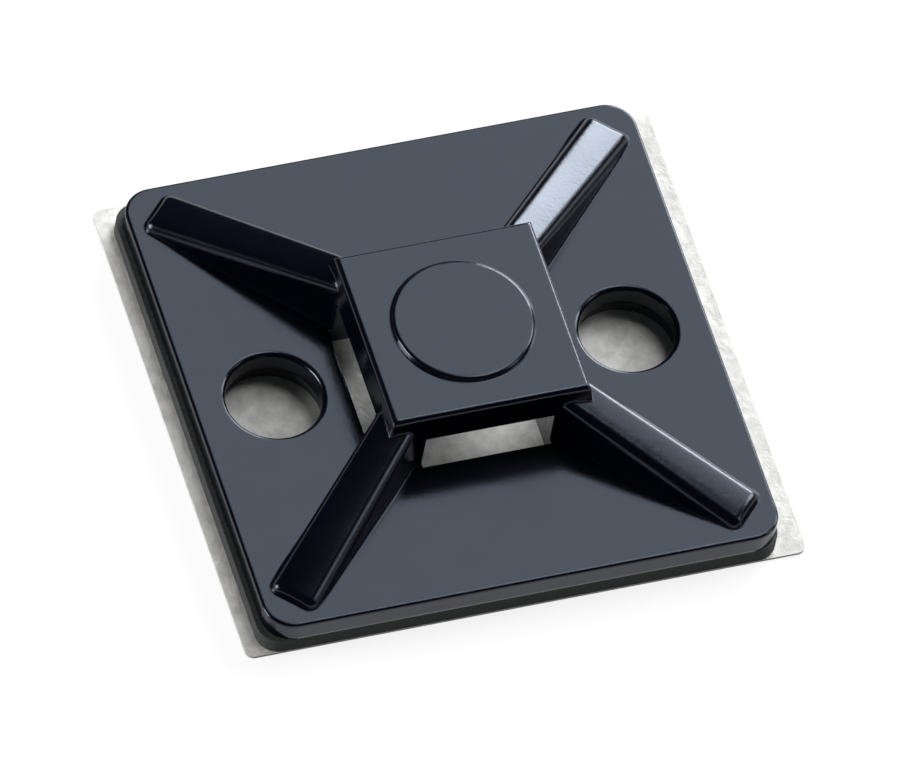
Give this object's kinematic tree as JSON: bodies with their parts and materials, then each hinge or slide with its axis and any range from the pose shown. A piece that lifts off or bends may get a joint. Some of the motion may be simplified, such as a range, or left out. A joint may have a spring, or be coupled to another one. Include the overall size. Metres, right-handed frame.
{
  "type": "cable tie mount",
  "caption": "Square adhesive base for a cable tie: a raised saddle on four sloping legs, open on every side, with screw holes beside it.",
  "frame": {"origin": "centre of the square base plate, on the underside of the release liner", "axes": "+Z out of the surface it is stuck to, +X along the line through the two screw holes"},
  "size_m": [0.0304, 0.0286, 0.0065],
  "materials": {
    "nylon": "satin",
    "foam": "closed-cell foam",
    "liner": "silicone-coated paper"
  },
  "bodies": {
    "root": {"mount_body": "nylon", "foam_pad": "foam", "release_liner": "liner"}
  },
  "joints": []
}
